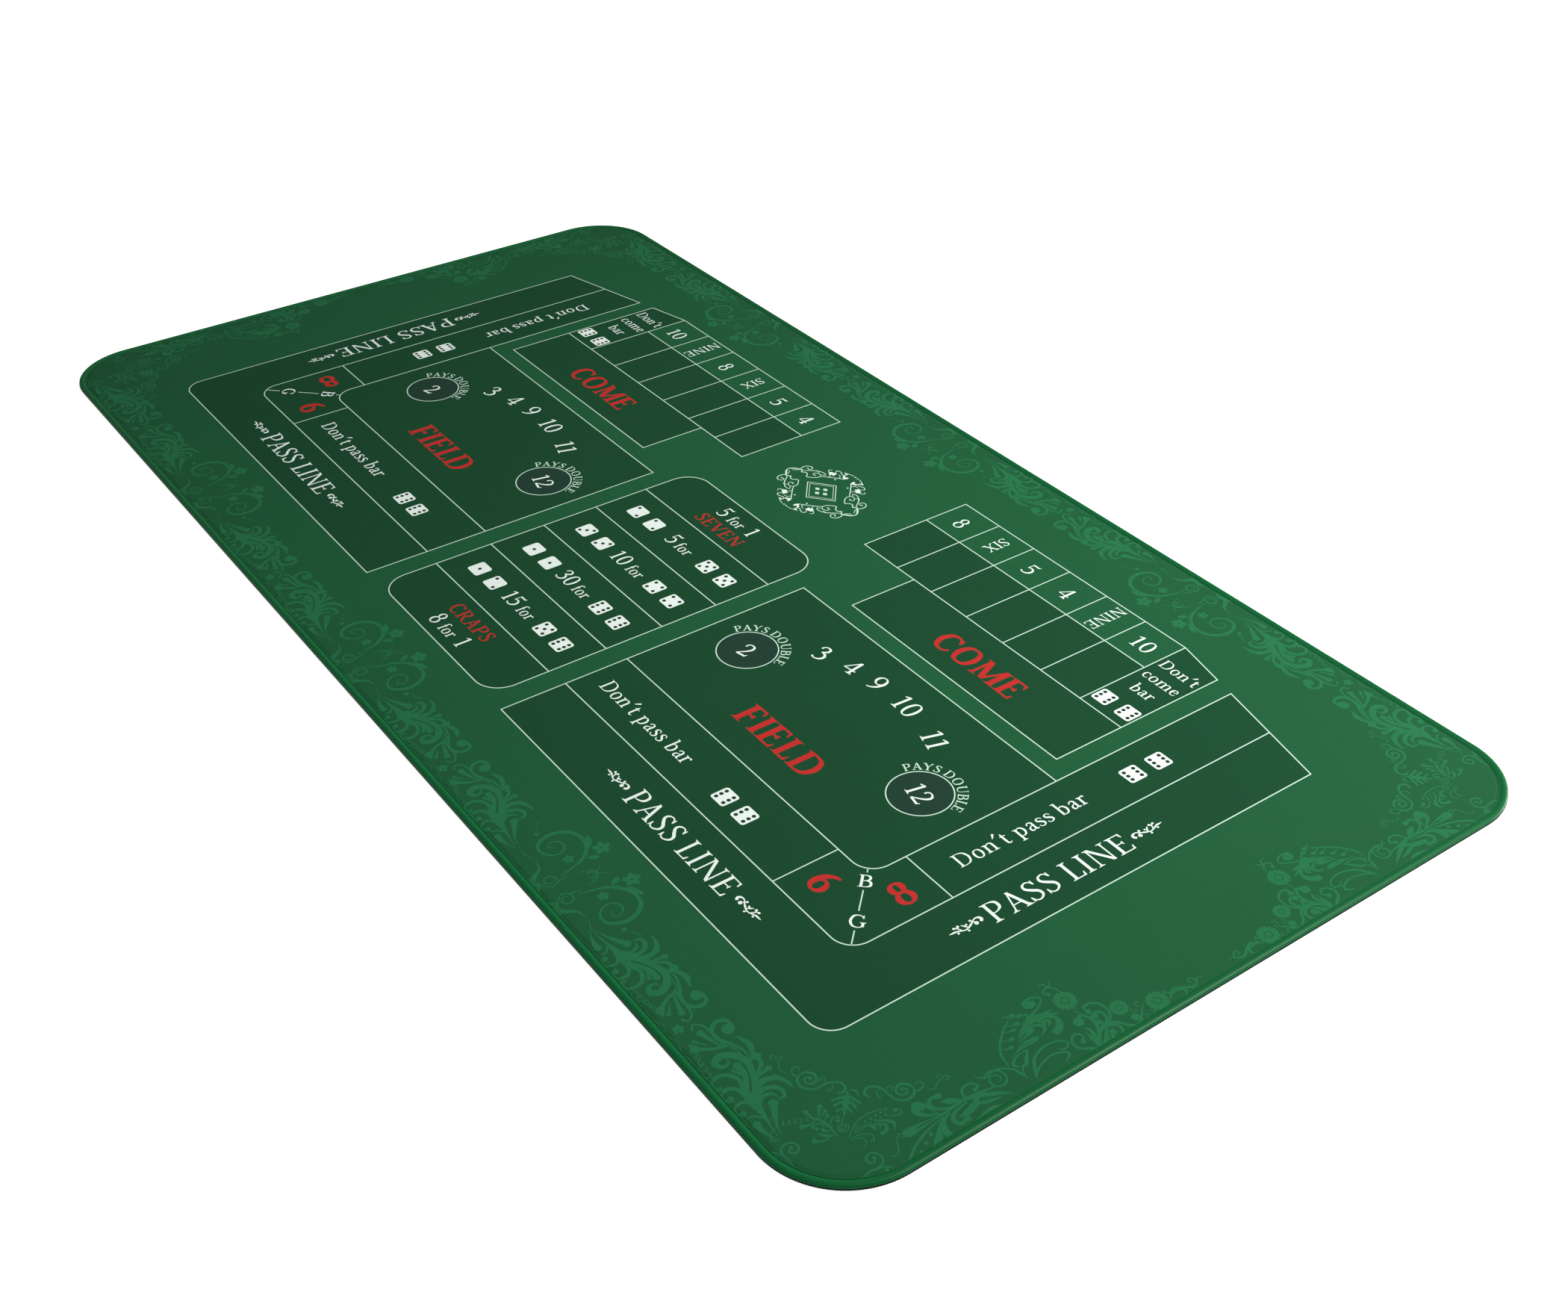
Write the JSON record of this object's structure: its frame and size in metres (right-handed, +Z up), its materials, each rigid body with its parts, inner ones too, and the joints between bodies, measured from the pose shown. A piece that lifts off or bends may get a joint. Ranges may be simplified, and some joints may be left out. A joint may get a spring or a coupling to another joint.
{
  "type": "craps layout mat",
  "caption": "Roll-out craps layout: a printed cloth bonded to a non-slip rubber sheet with rounded corners, its border bound all round by an overlocked thread bead.",
  "frame": {"origin": "middle of the underside, on the surface that the mat lies on", "axes": "+X along the long side in the reading direction of the layout, -Y towards the player, +Z up out of the printed face"},
  "size_m": [1.6, 0.8, 0.0043],
  "materials": {
    "rubber": "matt black foamed rubber with a fine non-slip waffle underneath",
    "film": "milky hot-melt adhesive film",
    "cloth": "tightly woven polyester cloth, dye-printed in greens, white and red",
    "edge_thread": "green polyester overlock thread, slightly glossy",
    "under_thread": "near-black polyester overlock thread",
    "needle_thread": "green polyester sewing thread"
  },
  "bodies": {
    "root": {"rubber_base": "rubber", "bonding_film": "film", "printed_cloth": "cloth", "upper_looper_thread": "edge_thread", "lower_looper_thread": "under_thread", "needle_thread": "needle_thread"}
  },
  "joints": []
}
